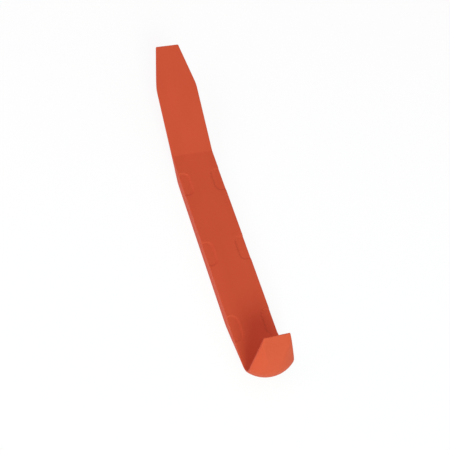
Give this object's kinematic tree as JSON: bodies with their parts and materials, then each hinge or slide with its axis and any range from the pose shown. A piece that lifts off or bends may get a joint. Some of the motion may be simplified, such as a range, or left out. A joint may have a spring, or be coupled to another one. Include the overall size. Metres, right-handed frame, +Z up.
{
  "type": "trim removal tool",
  "caption": "Flat moulded pry lever with recessed finger grips, a chisel blade raised at the front and a crowned hook turned up at the back, for lifting off interior trim.",
  "frame": {"origin": "centre of the part's bounding box in X and Y, at the height of the surface that it rests on", "axes": "+Y along the handle from the hook to the chisel, +Z up out of the handle's top face, +X across the handle"},
  "size_m": [0.025, 0.217, 0.0393],
  "materials": {
    "orange_nylon": "fine moulded satin, orange-red"
  },
  "bodies": {
    "root": {"trim_tool": "orange_nylon"}
  },
  "joints": []
}
